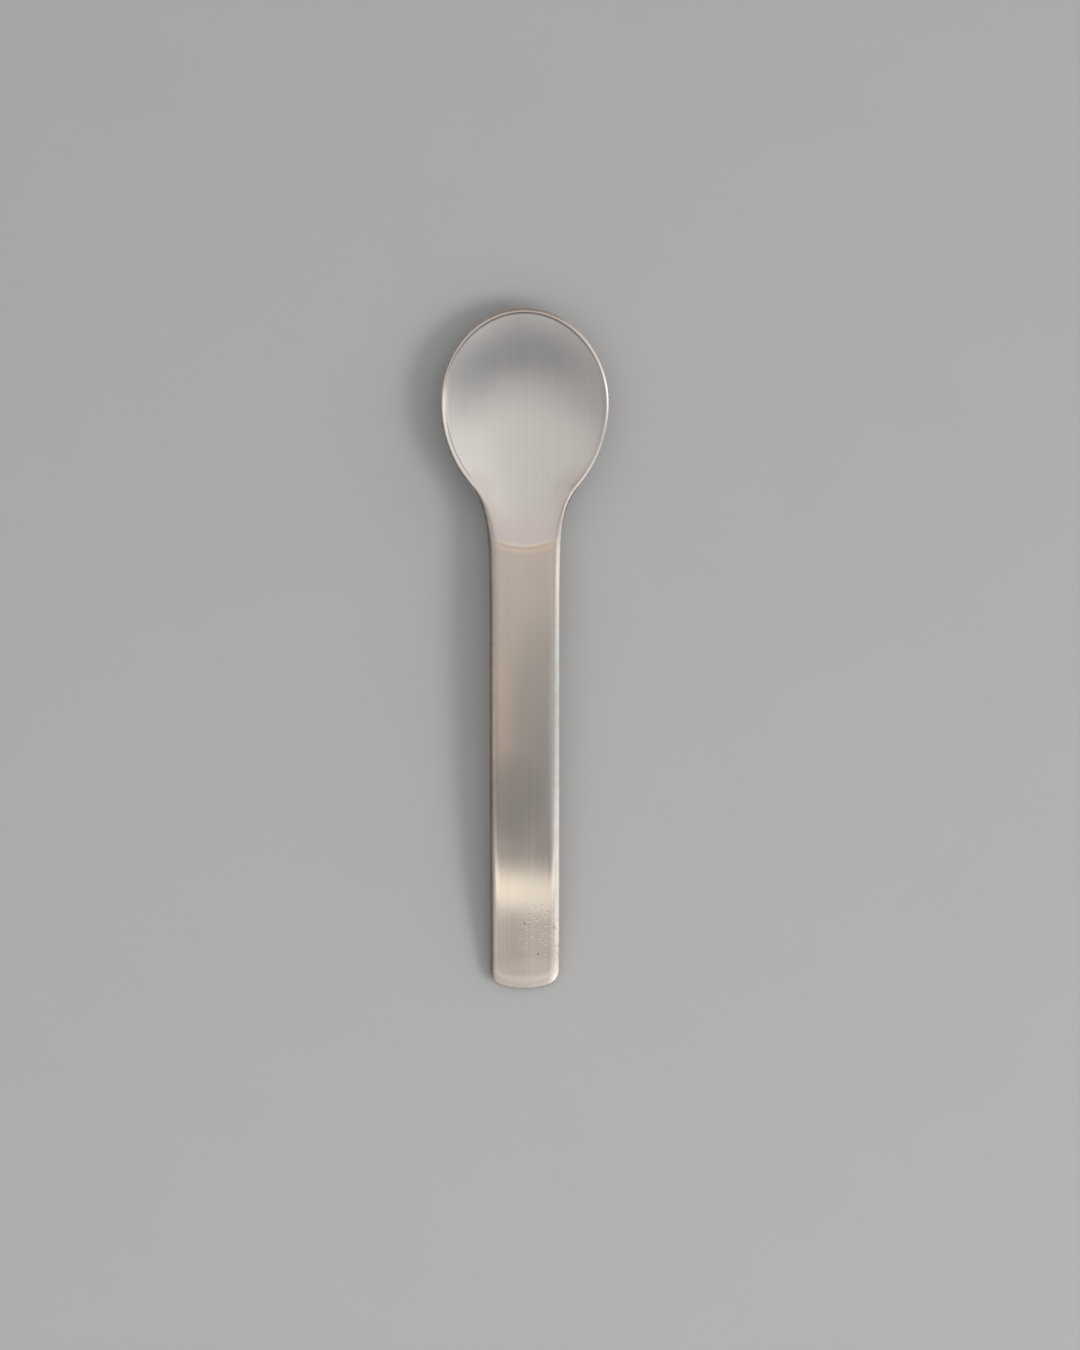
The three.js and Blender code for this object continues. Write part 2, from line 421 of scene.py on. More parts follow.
    @cached_property
    def rest(self) -> Pair:
        """Lays the bowl and the handle's end on the table.

        Returns:
            The tilt along the spoon, and the lift.
        """
        tilt = lift = 0.0
        for _ in range(self.rest_rounds):
            bowl_y, bowl = self.lowest(self.seam_y, self.tip_y, tilt)
            end_y, end = self.lowest(self.end_y, self.straight_y, tilt)
            tilt -= (bowl + self.rest_flat - end) / (bowl_y - end_y)
            lift = -self.lowest(self.end_y, self.straight_y, tilt)[1]
        return tilt, lift

    def upper(self, x: Array, y: Array) -> Array:
        """Height of the upper face above the table."""
        tilt, lift = self.rest
        return self.upper_rise(x, y) + tilt * y + lift

    def lower(self, x: Array, y: Array) -> Array:
        """Height of the lower face above the table, with the worn flat under the bowl."""
        tilt, lift = self.rest
        return np.maximum(0, self.lower_rise(x, y) + tilt * y + lift)


@dataclass
class Station:
    """One cross-section of a piece: where its rows of points run, in millimetres."""

    middle: float
    sag: float
    scarf: float
    half: float | None = None

    def row(self, form: SpoonForm, shares: Array, scarf: float, height: HeightAt) -> Array:
        """A row of points across the spoon.

        Args:
            form: The spoon's curves.
            shares: Places across, from -1 at the left edge to 1 at the right edge.
            scarf: How far the row is moved towards the tip.
            height: Gives the height at a place.

        Returns:
            Points, one per share.
        """
        middle = self.middle + scarf
        half = self.half
        if half is None:
            half = float(form.half_width(np.array(middle + self.sag)))
        x = half * shares
        y = middle + self.sag * shares**2
        return np.stack([x, y, height(x, y)], axis=1)


@dataclass
class PlateMesh:
    """A closed mesh between an upper and a lower grid of points, each listed towards the tip."""

    upper: Array
    lower: Array
    form: SpoonForm
    ends_in_point: bool = False
    faces: list[tuple[int, ...]] = field(default_factory=list)

    def add(self, *corners: int) -> None:
        """Adds a face, leaving out corners that fall together.

        Args:
            corners: Vertex numbers, in order around the face.
        """
        face = tuple(dict.fromkeys(corners))
        if len(face) > 2:
            self.faces.append(face)

    def numbering(self) -> tuple[Array, Array]:
        """Numbers the vertices of both grids; a pointed end shares one vertex along its last row.

        Returns:
            The upper grid's numbers and the lower grid's.
        """
        rows, across = self.upper.shape[:2]
        upper = np.arange(rows * across).reshape(rows, across)
        lower = upper + rows * across
        if self.ends_in_point:
            upper[-1] = upper[-1, 0]
            lower[-1] = lower[-1, 0]
        return upper, lower

    def build(self, name: str) -> bpy.types.Object:
        """Makes the object, with a map whose first axis runs across the brushing.

        Args:
            name: Name of the object.

        Returns:
            The new object, in metres.
        """
        self.lay_faces()
        points = np.concatenate([self.upper.reshape(-1, 3), self.lower.reshape(-1, 3)]) * MM
        mesh = bpy.data.meshes.new(name)
        mesh.from_pydata(points.tolist(), [], self.faces)
        self.lay_map(mesh, points)
        edge = mesh.attributes.new(EDGE_MARK, "FLOAT", "POINT")
        edge.data.foreach_set("value", self.form.rim_distance(points[:, 0] / MM, points[:, 1] / MM))
        mesh.validate()
        mesh.shade_smooth()
        mesh.set_sharp_from_angle(angle=SHARP_EDGE)
        self.sharpen_ends(mesh)
        made = bpy.data.objects.new(name, mesh)
        bpy.context.scene.collection.objects.link(made)
        drop_loose_points(made)
        return made

    def lay_faces(self) -> None:
        """Lists the faces of both grids, of the sides and of the two ends."""
        up, down = (grid.tolist() for grid in self.numbering())
        rows, across = self.upper.shape[:2]
        for j in range(rows - 1):
            for i in range(across - 1):
                self.add(up[j][i], up[j][i + 1], up[j + 1][i + 1], up[j + 1][i])
                self.add(down[j][i + 1], down[j][i], down[j + 1][i], down[j + 1][i + 1])
            self.add(up[j][0], up[j + 1][0], down[j + 1][0], down[j][0])
            self.add(up[j + 1][-1], up[j][-1], down[j][-1], down[j + 1][-1])
        for i in range(across - 1):
            self.add(up[0][i], down[0][i], down[0][i + 1], up[0][i + 1])
            self.add(up[-1][i], up[-1][i + 1], down[-1][i + 1], down[-1][i])

    def sharpen_ends(self, mesh: bpy.types.Mesh) -> None:
        """Keeps the edges around both end faces crisp.

        Args:
            mesh: The mesh, with its vertices numbered as the grids are.
        """
        rows, across = self.upper.shape[:2]
        row_of = np.repeat(np.arange(2 * rows), across)
        ends = np.isin(row_of % rows, (0,) if self.ends_in_point else (0, rows - 1))
        pairs = np.empty(2 * len(mesh.edges), dtype=np.int32)
        mesh.edges.foreach_get("vertices", pairs)
        first, second = pairs[::2], pairs[1::2]
        sharp = np.empty(len(mesh.edges), dtype=bool)
        mesh.edges.foreach_get("use_edge_sharp", sharp)
        sharp |= ends[first] & (row_of[first] == row_of[second])
        mesh.edges.foreach_set("use_edge_sharp", sharp)

    def lay_map(self, mesh: bpy.types.Mesh, points: Array) -> None:
        """Lays the brushing's map: across the spoon on the first axis, along it on the second.

        Args:
            mesh: The mesh that gets the map.
            points: Its vertices, in metres.
        """
        layer = mesh.uv_layers.new(name=BRUSH_MAP)
        corners = np.empty(len(mesh.loops), dtype=np.int32)
        mesh.loops.foreach_get("vertex_index", corners)
        width = np.ptp(points[:, 0])
        length = np.ptp(points[:, 1])
        across = (points[:, 0] - points[:, 0].min()) / width
        along = (points[:, 1] - points[:, 1].min()) / length
        layer.uv.foreach_set("vector", np.stack([across, along], axis=1)[corners].ravel())


def drop_loose_points(piece: bpy.types.Object) -> None:
    """Removes the vertices that no face uses.

    Args:
        piece: The object whose mesh is cleaned.
    """
    used = np.zeros(len(piece.data.vertices), dtype=bool)
    corners = np.empty(len(piece.data.loops), dtype=np.int32)
    piece.data.loops.foreach_get("vertex_index", corners)
    used[corners] = True
    if used.all():
        return
    work = bmesh.new()
    work.from_mesh(piece.data)
    work.verts.ensure_lookup_table()
    bmesh.ops.delete(work, geom=[work.verts[i] for i in np.flatnonzero(~used)], context="VERTS")
    work.to_mesh(piece.data)
    work.free()


class NodeTree:
    """Short ways to place and join shader nodes."""

    def __init__(self, tree: bpy.types.NodeTree) -> None:
        """Keeps the tree that the nodes go into."""
        self.tree = tree

    def node(self, kind: str, inputs: Inputs | None = None, **settings: object) -> bpy.types.Node:
        """Adds a node.

        Args:
            kind: Blender's name for the kind of node.
            inputs: Values or output sockets for the node's inputs, by name or number.
            settings: Values for the node's own settings.

        Returns:
            The new node.
        """
        made = self.tree.nodes.new(kind)
        for key, value in settings.items():
            setattr(made, key, value)
        for key, value in (inputs or {}).items():
            self.feed(made.inputs[key], value)
        return made

    def feed(self, socket: Socket, value: object) -> None:
        """Joins an output to a socket, or sets the socket's own value.

        Args:
            socket: The input.
            value: An output, or a plain value.
        """
        if isinstance(value, Socket):
            self.tree.links.new(value, socket)
        else:
            socket.default_value = value

    def group(self, group: bpy.types.NodeTree, inputs: Inputs) -> Sockets:
        """Places a shader group, and gives its outputs by name."""
        made = self.node("ShaderNodeGroup", inputs, node_tree=group)
        return {socket.name: socket for socket in made.outputs}

    def place(self) -> Socket:
        """Where a point lies on the spoon, in metres."""
        return self.node("ShaderNodeTexCoord").outputs["Object"]

    def parts(self, vector: Socket) -> Sockets:
        """The X, Y and Z of a vector, by name."""
        made = self.node("ShaderNodeSeparateXYZ", {0: vector})
        return {socket.name: socket for socket in made.outputs}

    def oval(self, x: float, y: float, size: Pair) -> Socket:
        """How far a point lies from a place on the spoon, squared.

        Args:
            x: The place across the spoon, in millimetres.
            y: The place along the spoon, in millimetres.
            size: What the distances across and along are divided by.

        Returns:
            The sum of both squares.
        """
        away = self.parts(self.place())
        across = self.math("DIVIDE", self.math("SUBTRACT", away["X"], x * MM), size[0])
        along = self.math("DIVIDE", self.math("SUBTRACT", away["Y"], y * MM), size[1])
        return self.math("MULTIPLY_ADD", across, across, self.math("MULTIPLY", along, along))

    def math(self, operation: str, *values: object) -> Socket:
        """Adds a sum.

        Args:
            operation: Blender's name for the kind of sum.
            values: Numbers or outputs that go into it.

        Returns:
            The result.
        """
        made = self.node("ShaderNodeMath", operation=operation)
        for socket, value in zip(made.inputs, values):
            self.feed(socket, value)
        return made.outputs[0]

    def remap(self, value: object, given: Pair, wanted: Pair) -> Socket:
        """Stretches a value smoothly from one range to another, held inside it.

        Args:
            value: Output to stretch.
            given: Lowest and highest value that count.
            wanted: What those two become.

        Returns:
            The stretched value.
        """
        made = self.node("ShaderNodeMapRange", interpolation_type="SMOOTHSTEP")
        names = ("Value", "From Min", "From Max", "To Min", "To Max")
        for key, number in zip(names, (value, *given, *wanted)):
            self.feed(made.inputs[key], number)
        return made.outputs["Result"]

    def rise(self, value: object, low: float, high: float) -> Socket:
        """Goes smoothly from 0 at the low value to 1 at the high one."""
        return self.remap(value, (low, high), (0.0, 1.0))

    def drop(self, value: object, low: float, high: float) -> Socket:
        """Goes smoothly from 1 at the low value to 0 at the high one."""
        return self.remap(value, (low, high), (1.0, 0.0))

    def noise(self, place: Socket, scale: object, detail: float, seed: object | None = None) -> Socket:
        """Adds a noise.

        Args:
            place: Where it is read.
            scale: How fine it is.
            detail: How many finer layers it has.
            seed: Which of many like noises it is, where that is set.

        Returns:
            Values around a half.
        """
        inputs: Inputs = {"Vector": place, "Scale": scale, "Detail": detail}
        if seed is None:
            return self.node("ShaderNodeTexNoise", inputs).outputs[0]
        return self.node("ShaderNodeTexNoise", inputs | {"W": seed}, noise_dimensions="4D").outputs[0]

    def blend(self, share: object, first: object, second: object, kind: str = "MIX") -> Socket:
        """Mixes two colours.

        Args:
            share: How much of the second colour is used.
            first: First colour.
            second: Second colour.
            kind: How the colours are mixed.

        Returns:
            The mixed colour.
        """
        made = self.node("ShaderNodeMix", data_type="RGBA", blend_type=kind)
        self.feed(made.inputs["Factor"], share)
        for key, colour in (("A", first), ("B", second)):
            socket = next(s for s in made.inputs if s.name == key and s.type == "RGBA")
            self.feed(socket, (*colour, 1) if isinstance(colour, tuple) else colour)
        return next(s for s in made.outputs if s.type == "RGBA")


def new_material(name: str) -> tuple[bpy.types.Material, NodeTree, bpy.types.Node]:
    """Starts a material.

    Args:
        name: Name of the material.

    Returns:
        The material, its nodes and its main shader.
    """
    material = bpy.data.materials.new(name)
    material.use_nodes = True
    return material, NodeTree(material.node_tree), material.node_tree.nodes["Principled BSDF"]


class SteelMarks:
    """Shader groups for the marks that more than one metal carries."""

    GRAIN_DETAIL = 3.0
    GRAIN_RANGE = (0.3, 0.7)
    BAND_SCALE = 0.3
    PATCH_DETAIL = 4.0
    PATCH_RANGE = (0.32, 0.68)
    SPECK_FINENESS = 15.0
    SPECK_RANGE = (0.12, 0.34)
    TINT_FADE = (0.2, 1.0)
    TINT_SIDE_FADE = (0.6, 1.0)
    UPPER_FACING = (0.1, 0.4)
    WEAR_SCALE = 320.0
    WEAR_DETAIL = 4.0
    WEAR_RANGE = (0.35, 0.65)

    @staticmethod
    def new_group(name: str, inputs: Names, outputs: Names) -> tuple[NodeTree, Sockets, Sockets]:
        """Starts a shader group with number sockets.

        Args:
            name: Name of the group.
            inputs: Names of its inputs.
            outputs: Names of its outputs.

        Returns:
            The tree, the sockets that give its inputs and those that take its outputs, by name.
        """
        group = bpy.data.node_groups.new(name, "ShaderNodeTree")
        for label in inputs:
            group.interface.new_socket(label, in_out="INPUT", socket_type="NodeSocketFloat")
        for label in outputs:
            group.interface.new_socket(label, in_out="OUTPUT", socket_type="NodeSocketFloat")
        tree = NodeTree(group)
        given = {socket.name: socket for socket in tree.node("NodeGroupInput").outputs}
        return tree, given, {socket.name: socket for socket in tree.node("NodeGroupOutput").inputs}

    @classmethod
    @cache
    def grain(cls) -> bpy.types.NodeTree:
        """Fine lines along the spoon: a value for each line and one for broader bands of them.

        Returns:
            The group, made once.
        """
        tree, given, out = cls.new_group("Brushed grain", ("Across", "Along", "Seed"), ("Lines", "Bands"))
        place = tree.place()
        for label, widen in (("Lines", 1.0), ("Bands", cls.BAND_SCALE)):
            across = tree.math("MULTIPLY", given["Across"], widen)
            along = tree.math("MULTIPLY", given["Along"], widen)
            scale = tree.node("ShaderNodeCombineXYZ", {"X": across, "Y": along, "Z": along}).outputs[0]
            spot = tree.node("ShaderNodeVectorMath", {0: place, 1: scale}, operation="MULTIPLY").outputs[0]
            noise = tree.noise(spot, 1.0, cls.GRAIN_DETAIL, given["Seed"])
            tree.feed(out[label], tree.rise(noise, *cls.GRAIN_RANGE))
        return tree.tree

    @classmethod
    @cache
    def haze(cls) -> bpy.types.NodeTree:
        """Soft uneven patches from polishing and handling, and scattered specks.

        Returns:
            The group, made once.
        """
        tree, given, out = cls.new_group("Polishing haze", ("Scale", "Seed"), ("Patches", "Specks"))
        place = tree.place()
        soft = tree.noise(place, given["Scale"], cls.PATCH_DETAIL, given["Seed"])
        tree.feed(out["Patches"], tree.rise(soft, *cls.PATCH_RANGE))
        fine = tree.math("MULTIPLY", given["Scale"], cls.SPECK_FINENESS)
        speck = tree.node("ShaderNodeTexVoronoi", {"Vector": place, "Scale": fine, "Randomness": 1.0})
        tree.feed(out["Specks"], tree.drop(speck.outputs["Distance"], *cls.SPECK_RANGE))
        return tree.tree

    @classmethod
    @cache
    def tint(cls, form: SpoonForm) -> bpy.types.NodeTree:
        """A mask that is strongest at the seam and near the middle across it, for seam tints and painted
        highlights.

        Args:
            form: The spoon's curves, which give the seam's place.

        Returns:
            The group, made once.
        """
        tree, given, out = cls.new_group("Seam tint and sheen mask", ("Reach", "Half width"), ("Tint",))
        place = tree.parts(tree.place())
        bow = form.seam_sag / form.half_seam**2 / MM
        curve = tree.math("MULTIPLY", tree.math("MULTIPLY", place["X"], place["X"]), bow)
        away = tree.math("SUBTRACT", place["Y"], tree.math("ADD", curve, form.seam_y * MM))
        share = tree.math("DIVIDE", tree.math("ABSOLUTE", away), given["Reach"])
        side = tree.math("DIVIDE", tree.math("ABSOLUTE", place["X"]), given["Half width"])
        held = tree.drop(side, *cls.TINT_SIDE_FADE)
        tree.feed(out["Tint"], tree.math("MULTIPLY", tree.drop(share, *cls.TINT_FADE), held))
        return tree.tree

    @classmethod
    @cache
    def edge(cls) -> bpy.types.NodeTree:
        """A line inside the outline on the upper side for a painted shade line, patchy wear near the outline,
        and the upper side.

        Returns:
            The group, made once.
        """
        inputs = ("Line place", "Line width", "Wear reach", "Seed")
        tree, given, out = cls.new_group("Edge marks", inputs, ("Line", "Near", "Wear", "Upper"))
        inset = tree.node("ShaderNodeAttribute", attribute_name=EDGE_MARK).outputs["Fac"]
        facing = tree.parts(tree.node("ShaderNodeNewGeometry").outputs["Normal"])
        upper = tree.rise(facing["Z"], *cls.UPPER_FACING)
        tree.feed(out["Upper"], upper)
        # The mask for a painted shade line inside the outline.
        away = tree.math("ABSOLUTE", tree.math("SUBTRACT", inset, given["Line place"]))
        line = tree.drop(tree.math("DIVIDE", away, given["Line width"]), 0.0, 1.0)
        tree.feed(out["Line"], tree.math("MULTIPLY", line, upper))
        near = tree.drop(tree.math("DIVIDE", inset, given["Wear reach"]), 0.0, 1.0)
        tree.feed(out["Near"], near)
        noise = tree.noise(tree.place(), cls.WEAR_SCALE, cls.WEAR_DETAIL, given["Seed"])
        tree.feed(out["Wear"], tree.math("MULTIPLY", near, tree.rise(noise, *cls.WEAR_RANGE)))
        return tree.tree


@dataclass(frozen=True)
class Pit:
    """A small dent from use: its place and radius, in millimetres, and how far the brushing draws it out."""

    x: float
    y: float
    radius: float
    stretch: float = 1.6
    raggedness: float = 2500.0
    ragged_detail: float = 3.0
    wall: Pair = (0.5, 1.3)

    def depth(self, tree: NodeTree, upper: Socket) -> Socket:
        """How deep the ragged pit is, from 0 outside it to 1 in its middle.

        Args:
            tree: The material's nodes.
            upper: Mask of the spoon's upper side, where the pit lies.

        Returns:
            The depth.
        """
        square = tree.oval(self.x, self.y, (1.0, self.stretch))
        reach = tree.math("DIVIDE", tree.math("SQRT", square), self.radius * MM)
        ragged = tree.noise(tree.place(), self.raggedness, self.ragged_detail)
        return tree.math("MULTIPLY", tree.drop(tree.math("ADD", reach, ragged), *self.wall), upper)


@dataclass(frozen=True)
class Zone:
    """An oval part of a face, in millimetres, and what its colour is multiplied by in the middle."""

    x: float
    y: float
    half_width: float
    half_length: float
    colour: Colour

    def share(self, tree: NodeTree, upper: Socket) -> Socket:
        """How far inside the zone a place on the upper side is, from 0 on its edge to 1 in its middle."""
        reach = tree.oval(self.x, self.y, (self.half_width * MM, self.half_length * MM))
        return tree.math("MULTIPLY", tree.drop(reach, 0.0, 1.0), upper)


@dataclass(frozen=True)
class Tint:
    """A colour that fades away from the seam, for tints and painted highlights beside it: its reach from the
    seam, what it multiplies the colour by, and its half width.
    """

    reach: float
    colour: Colour
    half_width: float = 60.0 * MM

    def share(self, tree: NodeTree, form: SpoonForm) -> Socket:
        """How strong the tint is, from 0 to 1."""
        extent = {"Reach": self.reach, "Half width": self.half_width}
        return tree.group(SteelMarks.tint(form), extent)["Tint"]


@dataclass(frozen=True)
class SteelFinish:
    """A brushed or satin steel."""

    name: str
    bright: Colour
    dull: Colour
    seam_tints_and_sheen: tuple[Tint, ...]
    roughness: Pair
    anisotropy: float
    lines_across: float
    lines_along: float
    line_depth: float
    patch_scale: float
    seed: float
    shade_line_strength: Pair
    wear_reach: float
    edge_roughness: float
    pits: tuple[Pit, ...] = ()
    # Painted light and shade: zones that multiply the colour in place, standing in for reflections.
    painted_reflection_zones: tuple[Zone, ...] = ()
    pitted: Zone | None = None
    # Painted shade: a dark line in the crease inside the rim, within this zone.
    crease_shade: Zone | None = None
    line_tone: float = 0.45
    band_tone: float = 0.35
    patch_tone: float = 0.2
    line_roughness: float = 0.6
    patch_roughness: float = 0.4
    bump_strength: float = 0.6
    wear_strength: float = 0.4
    pit_strength: float = 0.7
    speck_strength: float = 0.38
    pit_depth: float = 0.03 * MM
    shade_line_place: float = 1.1
    shade_line_width: float = 0.5
    # Colour of the painted shade line inside the rim.
    shade_line_colour: Colour = (0.25, 0.2, 0.17)
    crease_shade_place: float = 2.25
    wear_colour: Colour = (0.7, 0.67, 0.63)
    pit_colour: Colour = (0.3, 0.26, 0.22)

    def build(self, form: SpoonForm) -> bpy.types.Material:
        """Makes the material.

        Args:
            form: The spoon's curves, which give the seam's place.

        Returns:
            The new material.
        """
        material, tree, shader = new_material(self.name)
        strokes = {"Across": self.lines_across, "Along": self.lines_along, "Seed": self.seed}
        grain = tree.group(SteelMarks.grain(), strokes)
        haze = tree.group(SteelMarks.haze(), {"Scale": self.patch_scale, "Seed": self.seed})
        edge = self.edge_marks(tree, self.shade_line_place)
        colour = self.tones(tree, form, grain, haze, edge)
        height = grain["Lines"]
        for dent, dent_colour, strength in self.dents(tree, haze["Specks"], edge["Upper"]):
            colour = tree.blend(tree.math("MULTIPLY", dent, strength), colour, dent_colour)
            height = tree.math("MULTIPLY_ADD", dent, -self.pit_depth / self.line_depth, height)
        tree.feed(shader.inputs["Base Color"], colour)
        tree.feed(shader.inputs["Roughness"], self.rough(tree, grain, haze["Patches"], edge["Near"]))
        shader.inputs["Metallic"].default_value = 1.0
        shader.inputs["Anisotropic"].default_value = self.anisotropy
        tangent = tree.node("ShaderNodeTangent", direction_type="UV_MAP", uv_map=BRUSH_MAP)
        tree.feed(shader.inputs["Tangent"], tangent.outputs[0])
        relief = {"Height": height, "Distance": self.line_depth, "Strength": self.bump_strength}
        tree.feed(shader.inputs["Normal"], tree.node("ShaderNodeBump", relief).outputs[0])
        return material

    def edge_marks(self, tree: NodeTree, shade_line_place: float) -> Sockets:
        """Places the marks along the outline: the painted shade line, the wear and the upper side.

        Args:
            tree: The material's nodes.
            shade_line_place: Where the line lies, in widths of the rim's rounding.

        Returns:
            The marks by name.
        """
        inputs: Inputs = {
            "Line place": shade_line_place,
            "Line width": self.shade_line_width,
            "Wear reach": self.wear_reach,
            "Seed": self.seed,
        }
        return tree.group(SteelMarks.edge(), inputs)

    def tones(self, tree: NodeTree, form: SpoonForm, grain: Sockets, haze: Sockets, edge: Sockets) -> Socket:
        """The steel's colour with its tints and painted seam highlights, its wear, a painted shade line,
        painted reflection zones and a painted crease shade.

        Args:
            tree: The material's nodes.
            form: The spoon's curves.
            grain: The brushed grain.
            haze: The polishing haze.
            edge: The marks along the outline.

        Returns:
            The colour, without dents.
        """
        bands = tree.math("MULTIPLY", grain["Bands"], self.band_tone)
        tone = tree.math("MULTIPLY_ADD", grain["Lines"], self.line_tone, bands)
        tone = tree.math("MULTIPLY_ADD", haze["Patches"], self.patch_tone, tone)
        colour = tree.blend(tone, self.dull, self.bright)
        # Tints along the seam; the brighter ones are painted highlights beside it.
        for tint in self.seam_tints_and_sheen:
            colour = tree.blend(tint.share(tree, form), colour, tint.colour, "MULTIPLY")
        wear = tree.math("MULTIPLY", edge["Wear"], self.wear_strength)
        colour = tree.blend(wear, colour, self.wear_colour)
        # Painted shade: a dark line inside the rim on the upper side, stronger towards the tip.
        along = tree.parts(tree.place())["Y"]
        strength = tree.remap(along, (form.widest_y * MM, form.tip_y * MM), self.shade_line_strength)
        colour = tree.blend(tree.math("MULTIPLY", edge["Line"], strength), colour, self.shade_line_colour)
        # Painted light and shade: each zone lightens or darkens the colour in place, standing in for
        # reflections.
        for zone in self.painted_reflection_zones:
            colour = tree.blend(zone.share(tree, edge["Upper"]), colour, zone.colour, "MULTIPLY")
        # Painted shade: a dark line along the crease inside the rim, within the crease zone.
        if self.crease_shade:
            fold = self.edge_marks(tree, self.crease_shade_place)["Line"]
            fold = tree.math("MULTIPLY", fold, self.crease_shade.share(tree, edge["Upper"]))
            colour = tree.blend(fold, colour, self.crease_shade.colour, "MULTIPLY")
        return colour

    def dents(self, tree: NodeTree, specks: Socket, upper: Socket) -> list[tuple[Socket, Colour, float]]:
        """Lists the pits, and the field of small specks.

        Args:
            tree: The material's nodes.
            specks: Scattered specks all over.
            upper: Mask of the spoon's upper side.

        Returns:
            For each, its depth, its colour and how strongly that shows.
        """
        found = [(pit.depth(tree, upper), self.pit_colour, self.pit_strength) for pit in self.pits]
        if self.pitted:
            specks = tree.math("MULTIPLY", specks, self.pitted.share(tree, upper))
            found.append((specks, self.pitted.colour, self.speck_strength))
        return found

    def rough(self, tree: NodeTree, grain: Sockets, patches: Socket, near: Socket) -> Socket:
        """How rough the steel is.

        Args:
            tree: The material's nodes.
            grain: The brushed grain.
            patches: The polishing haze.
            near: How near the outline is.

        Returns:
            The roughness.
        """
        hazed = tree.math("MULTIPLY", patches, self.patch_roughness)
        share = tree.math("MULTIPLY_ADD", grain["Lines"], self.line_roughness, hazed)
        plain = tree.remap(share, (0.0, 1.0), self.roughness)
        return tree.math("MULTIPLY_ADD", near, self.edge_roughness, plain)


@dataclass(frozen=True)
class BrazeFinish:
    """The tan filler metal of the seam, which pales towards both sides."""

    name: str = "Braze filler"
    bright: Colour = (0.65, 0.53, 0.43)
    dull: Colour = (0.62, 0.5, 0.4)
    side_colour: Colour = (0.64, 0.55, 0.475)
    roughness: Pair = (0.24, 0.34)
    patch_scale: float = 400.0
    seed: float = 3.0
    reach: float = 10.0 * MM
    half_width: float = 8.5 * MM
    relief: float = 0.004 * MM
    bump_strength: float = 0.5

    def build(self, form: SpoonForm) -> bpy.types.Material:
        """Makes the material.

        Args:
            form: The spoon's curves, which give the seam's place.

        Returns:
            The new material.
        """
        material, tree, shader = new_material(self.name)
        patches = tree.group(SteelMarks.haze(), {"Scale": self.patch_scale, "Seed": self.seed})["Patches"]
        filler = tree.blend(patches, self.dull, self.bright)
        extent = {"Reach": self.reach, "Half width": self.half_width}
        middle = tree.group(SteelMarks.tint(form), extent)["Tint"]
        colour = tree.blend(middle, self.side_colour, filler)
        tree.feed(shader.inputs["Base Color"], colour)
        tree.feed(shader.inputs["Roughness"], tree.remap(patches, (0.0, 1.0), self.roughness))
        shader.inputs["Metallic"].default_value = 1.0
        relief = {"Height": patches, "Distance": self.relief, "Strength": self.bump_strength}
        tree.feed(shader.inputs["Normal"], tree.node("ShaderNodeBump", relief).outputs[0])
        return material


SATIN = SteelFinish(
    name="Satin steel",
    bright=(0.611, 0.579, 0.549),
    dull=(0.581, 0.549, 0.519),
    # A narrow painted highlight beside the seam, and a wide warmer tint towards it.
    seam_tints_and_sheen=(Tint(1.5 * MM, (1.11, 1.09, 1.07), 8.0 * MM), Tint(14.0 * MM, (0.995, 0.935, 0.92))),
    roughness=(0.19, 0.25),
    anisotropy=0.2,
    lines_across=2600.0,
    lines_along=12.0,
    line_depth=0.001 * MM,
    patch_scale=70.0,
    seed=1.0,
    # The painted shade line inside the rim, from none at the widest place to full at the tip.
    shade_line_strength=(0.0, 1.0),
    wear_reach=2.0,
    edge_roughness=0.06,
    # Painted reflections: zones that darken the bowl where its mirrored light should be dimmer.
    painted_reflection_zones=(
        Zone(13.5, 38.5, 8.5, 9.0, (0.93, 0.905, 0.885)),
        Zone(-12.5, 39.0, 7.0, 7.0, (0.92, 0.91, 0.9)),
        Zone(-13.0, 70.0, 9.0, 9.0, (0.9, 0.915, 0.95)),
    ),
    # Painted shade in the crease inside the rim, on the lower left of the bowl.
    crease_shade=Zone(-16.5, 50.0, 7.0, 13.0, (0.56, 0.53, 0.53)),
)
BRUSHED = SteelFinish(
    name="Brushed steel",
    bright=(0.62, 0.543, 0.474),
    dull=(0.575, 0.503, 0.439),
    # A painted highlight beside the seam, and a narrow darkening right next to it.
    seam_tints_and_sheen=(Tint(2.0 * MM, (1.23, 1.126, 1.06), 9.5 * MM), Tint(1.0 * MM, (0.875, 0.88, 0.87), 8.5 * MM)),
    roughness=(0.14, 0.2),
    anisotropy=0.4,
    lines_across=2200.0,
    lines_along=3.0,
    line_depth=0.002 * MM,
    patch_scale=60.0,
    seed=2.0,
    shade_line_strength=(0.0, 0.0),
    wear_reach=4.5,
    edge_roughness=0.08,
    # Painted reflections: darker bands across the handle, a lighter patch, a painted highlight strip along
    # the right edge, and lighter zones towards the end.
    painted_reflection_zones=(
        Zone(6.0, -14.0, 12.0, 32.0, (0.83, 0.85, 0.86)),
        Zone(-3.0, -37.0, 10.0, 13.0, (0.83, 0.86, 0.83)),
        Zone(-7.0, -16.0, 6.0, 20.0, (1.13, 1.04, 0.98)),
        Zone(8.65, -28.0, 3.3, 52.0, (1.27, 1.34, 1.4)),
        Zone(5.0, 20.0, 6.0, 10.0, (0.975, 0.95, 0.955)),
        Zone(4.0, -73.0, 5.5, 13.0, (1.07, 1.08, 1.08)),
        Zone(3.0, -80.3, 14.0, 4.2, (1.13, 1.13, 1.14)),
    ),
    pits=(Pit(0.1, -68.4, 0.75), Pit(3.4, -76.1, 0.75), Pit(7.4, -69.2, 0.8), Pit(5.5, -70.0, 0.6)),
    pitted=Zone(4.5, -72.5, 9.0, 11.0, (0.3, 0.26, 0.22)),
)


